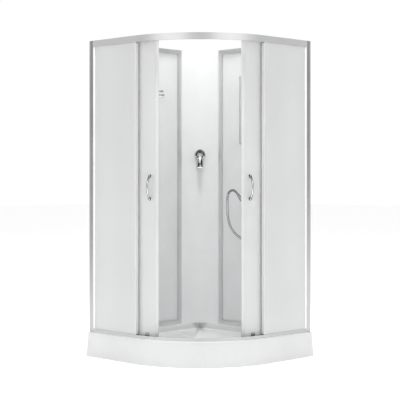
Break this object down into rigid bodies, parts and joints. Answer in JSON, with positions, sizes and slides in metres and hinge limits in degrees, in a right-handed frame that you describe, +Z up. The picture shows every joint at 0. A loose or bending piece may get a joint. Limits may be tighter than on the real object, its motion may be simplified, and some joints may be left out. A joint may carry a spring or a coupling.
{
  "type": "quadrant shower enclosure",
  "caption": "Quadrant shower enclosure with frosted rolling doors in a bent rail frame, panelled rear walls, raised tray, lever mixer, hand shower, mirror and glass shelf.",
  "frame": {"origin": "on the floor, under the middle of the square that the tray's foot fits in", "axes": "+Z up; the room corner lies towards -X +Y and the curved entry faces +X -Y"},
  "size_m": [0.99, 0.99, 1.95],
  "materials": {
    "acrylic": "white gloss acrylic",
    "zinc_steel": "zinc plated",
    "grey_plastic": "pale grey moulded",
    "chrome": "polished",
    "dark_rubber": "matt",
    "bright_steel": "polished",
    "white_glass": "back-painted white, gloss",
    "white_panel": "white gloss",
    "brass": "as cast",
    "hose_steel": "ribbed, polished",
    "mirror": "silvered",
    "clear_glass": "clear",
    "frosted_glass": "satin etched, tempered",
    "seal": "white flexible profile",
    "nylon": "white nylon",
    "bright_aluminium": "polished",
    "aluminium": "satin silver"
  },
  "bodies": {
    "enclosure": {"shower_tray": "acrylic", "tray_support": "zinc_steel", "tray_feet": "zinc_steel", "drain_trap": "grey_plastic", "drain_cover": "chrome", "left_jamb": "aluminium", "right_jamb": "aluminium", "left_glazing_post": "bright_aluminium", "right_glazing_post": "bright_aluminium", "top_rail": "aluminium", "bottom_rail": "aluminium", "left_fixed_glass": "frosted_glass", "right_fixed_glass": "frosted_glass", "left_edge_seal": "seal", "right_edge_seal": "seal", "door_stops": "dark_rubber", "frame_screws": "bright_steel", "left_wall_glass": "white_glass", "right_wall_glass": "white_glass", "left_wall_frame": "aluminium", "right_wall_frame": "aluminium", "corner_column": "white_panel", "mixer_plate": "chrome", "mixer_valve": "brass", "hose_outlet": "chrome", "outlet_nut": "chrome", "shower_hose": "hose_steel", "handset_nut": "chrome", "hand_shower": "chrome", "spray_plate": "grey_plastic", "handset_holder": "chrome", "mirror": "mirror", "mirror_rod": "chrome", "shelf_glass": "clear_glass", "shelf_gallery": "chrome", "shelf_clamps": "chrome"},
    "mixer_knuckle": {"mixer_knuckle": "chrome"},
    "mixer_lever": {"mixer_lever": "chrome"},
    "left_door": {"left_door_glass": "frosted_glass", "left_magnet_seal": "seal", "left_wiper": "seal", "left_roller_brackets": "chrome", "left_outer_handle": "chrome", "left_inner_handle": "chrome"},
    "left_top_lead_wheel": {"left_top_lead_wheel": "nylon"},
    "left_top_trail_wheel": {"left_top_trail_wheel": "nylon"},
    "left_bottom_lead_wheel": {"left_bottom_lead_wheel": "nylon"},
    "left_bottom_trail_wheel": {"left_bottom_trail_wheel": "nylon"},
    "right_door": {"right_door_glass": "frosted_glass", "right_magnet_seal": "seal", "right_wiper": "seal", "right_roller_brackets": "chrome", "right_outer_handle": "chrome", "right_inner_handle": "chrome"},
    "right_top_lead_wheel": {"right_top_lead_wheel": "nylon"},
    "right_top_trail_wheel": {"right_top_trail_wheel": "nylon"},
    "right_bottom_lead_wheel": {"right_bottom_lead_wheel": "nylon"},
    "right_bottom_trail_wheel": {"right_bottom_trail_wheel": "nylon"}
  },
  "joints": [
    {"name": "left_door_travel", "type": "hinge", "parent": "enclosure", "child": "left_door", "pos_m": [-0.11311, 0.17004, 0.15], "axis": [0, 0, 1], "range_deg": [0, 23.93]},
    {"name": "left_top_lead_wheel_spin", "type": "hinge", "parent": "left_door", "child": "left_top_lead_wheel", "pos_m": [-0.00436, -0.45363, 1.9313], "axis": [0.2109, -0.9775, 0], "range_deg": [-1380, 0]},
    {"name": "left_top_trail_wheel_spin", "type": "hinge", "parent": "left_door", "child": "left_top_trail_wheel", "pos_m": [-0.20406, -0.45378, 1.9313], "axis": [-0.165, -0.9863, 0], "range_deg": [-1380, 0]},
    {"name": "left_bottom_lead_wheel_spin", "type": "hinge", "parent": "left_door", "child": "left_bottom_lead_wheel", "pos_m": [-0.00436, -0.45363, 0.1604], "axis": [0.2109, -0.9775, 0], "range_deg": [-1900, 0]},
    {"name": "left_bottom_trail_wheel_spin", "type": "hinge", "parent": "left_door", "child": "left_bottom_trail_wheel", "pos_m": [-0.20406, -0.45378, 0.1604], "axis": [-0.165, -0.9863, 0], "range_deg": [-1890, 0]},
    {"name": "right_door_travel", "type": "hinge", "parent": "enclosure", "child": "right_door", "pos_m": [-0.17004, 0.11311, 0.15], "axis": [0, 0, 1], "range_deg": [-23.93, 0]},
    {"name": "right_top_lead_wheel_spin", "type": "hinge", "parent": "right_door", "child": "right_top_lead_wheel", "pos_m": [0.45363, 0.00436, 1.9313], "axis": [0.9775, -0.2109, 0], "range_deg": [0, 1380]},
    {"name": "right_top_trail_wheel_spin", "type": "hinge", "parent": "right_door", "child": "right_top_trail_wheel", "pos_m": [0.45378, 0.20406, 1.9313], "axis": [0.9863, 0.165, 0], "range_deg": [0, 1380]},
    {"name": "right_bottom_lead_wheel_spin", "type": "hinge", "parent": "right_door", "child": "right_bottom_lead_wheel", "pos_m": [0.45363, 0.00436, 0.1604], "axis": [0.9775, -0.2109, 0], "range_deg": [0, 1900]},
    {"name": "right_bottom_trail_wheel_spin", "type": "hinge", "parent": "right_door", "child": "right_bottom_trail_wheel", "pos_m": [0.45378, 0.20406, 0.1604], "axis": [0.9863, 0.165, 0], "range_deg": [0, 1890]},
    {"name": "mixer_turn", "type": "hinge", "parent": "enclosure", "child": "mixer_knuckle", "pos_m": [-0.38469, 0.38469, 1.253], "axis": [0.7071, -0.7071, 0], "range_deg": [-45, 45]},
    {"name": "mixer_lift", "type": "hinge", "parent": "mixer_knuckle", "child": "mixer_lever", "pos_m": [-0.38469, 0.38469, 1.253], "axis": [-0.7071, -0.7071, 0], "range_deg": [0, 25]}
  ],
  "couplings": [
    {"joint": "left_top_lead_wheel_spin", "follows": "left_door_travel", "ratio": -57.553},
    {"joint": "left_top_trail_wheel_spin", "follows": "left_door_travel", "ratio": -57.311},
    {"joint": "left_bottom_lead_wheel_spin", "follows": "left_door_travel", "ratio": -79.135},
    {"joint": "left_bottom_trail_wheel_spin", "follows": "left_door_travel", "ratio": -78.802},
    {"joint": "right_top_lead_wheel_spin", "follows": "right_door_travel", "ratio": -57.553},
    {"joint": "right_top_trail_wheel_spin", "follows": "right_door_travel", "ratio": -57.311},
    {"joint": "right_bottom_lead_wheel_spin", "follows": "right_door_travel", "ratio": -79.135},
    {"joint": "right_bottom_trail_wheel_spin", "follows": "right_door_travel", "ratio": -78.802}
  ]
}
